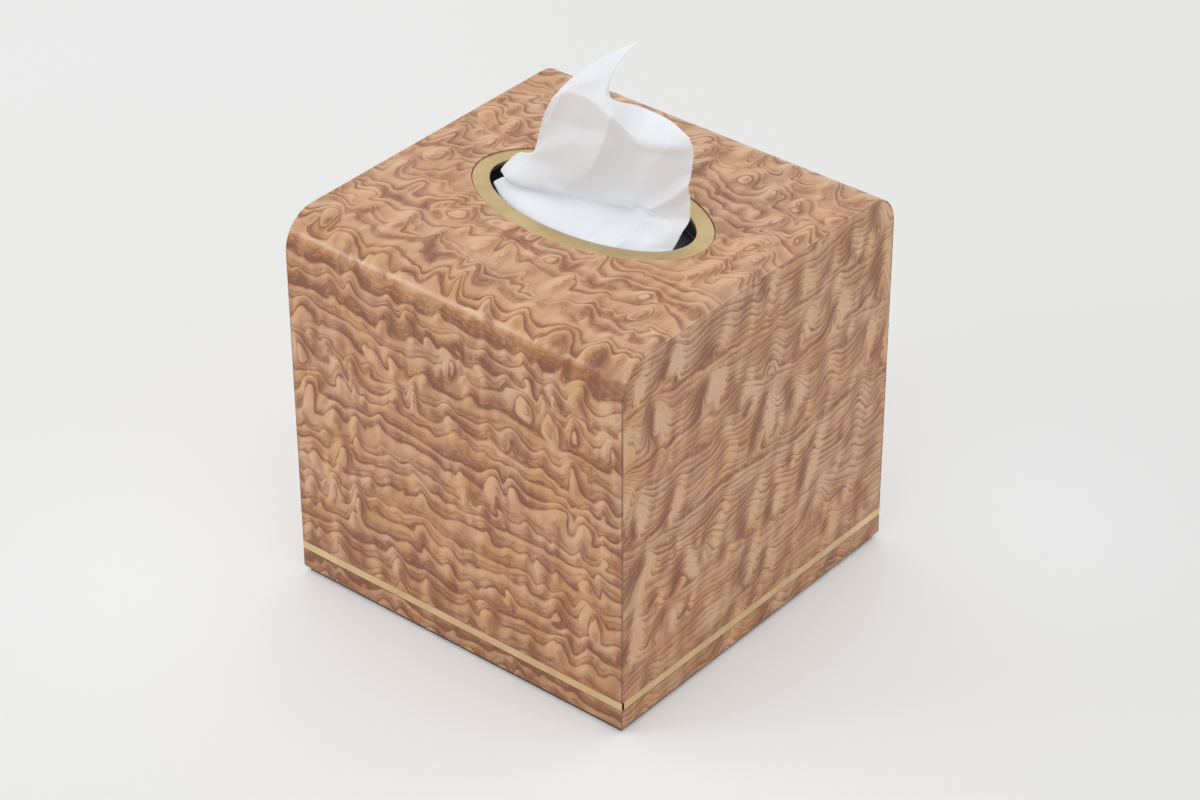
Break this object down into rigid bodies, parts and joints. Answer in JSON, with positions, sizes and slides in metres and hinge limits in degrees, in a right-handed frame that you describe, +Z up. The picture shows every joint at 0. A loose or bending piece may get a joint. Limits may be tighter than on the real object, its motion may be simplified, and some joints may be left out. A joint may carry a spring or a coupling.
{
  "type": "tissue box cover",
  "caption": "Cube cover for a tissue carton: figured veneer box with rounded top edges, brass line, flush oval brass ring on top, lift-out base board and a drawn sheet.",
  "frame": {"origin": "centre of the underside, on the surface the cover stands on", "axes": "+Z up; -Y is the front face; X runs along the oval opening's long axis"},
  "size_m": [0.14, 0.14, 0.1963],
  "materials": {
    "figured_veneer": "satin",
    "rail_wood": "satin",
    "fibreboard": "matte",
    "moulding_wood": "matte",
    "black_board": "matte",
    "satin_brass": "satin",
    "lining_card": "matte",
    "black_felt": "matte",
    "plated_magnet": "satin",
    "carton_card": "matte",
    "folded_stack": "matte",
    "tissue_paper": "matte"
  },
  "bodies": {
    "base": {"base_panel": "black_board", "base_felt": "black_felt", "base_magnets": "plated_magnet", "carton": "carton_card", "tissue_stack": "folded_stack"},
    "cover": {"front_panel": "fibreboard", "back_panel": "fibreboard", "left_panel": "fibreboard", "right_panel": "fibreboard", "top_panel": "black_board", "front_edge_moulding": "moulding_wood", "back_edge_moulding": "moulding_wood", "wrap_veneer": "figured_veneer", "left_veneer": "figured_veneer", "right_veneer": "figured_veneer", "front_brass_strip": "satin_brass", "back_brass_strip": "satin_brass", "left_brass_strip": "satin_brass", "right_brass_strip": "satin_brass", "front_plinth_rail": "rail_wood", "back_plinth_rail": "rail_wood", "left_plinth_rail": "rail_wood", "right_plinth_rail": "rail_wood", "opening_ring": "satin_brass", "ceiling_lining": "lining_card", "front_lining": "lining_card", "back_lining": "lining_card", "left_lining": "lining_card", "right_lining": "lining_card", "rim_felt": "black_felt", "rail_magnets": "plated_magnet"},
    "tissue": {"tissue_sheet": "tissue_paper"}
  },
  "joints": [
    {"name": "cover_lift", "type": "slide", "parent": "base", "child": "cover", "axis": [0, 0, 1], "range_m": [0, 0.22]},
    {"name": "tissue_pull", "type": "slide", "parent": "base", "child": "tissue", "axis": [0, 0, 1], "range_m": [0, 0.06]}
  ]
}
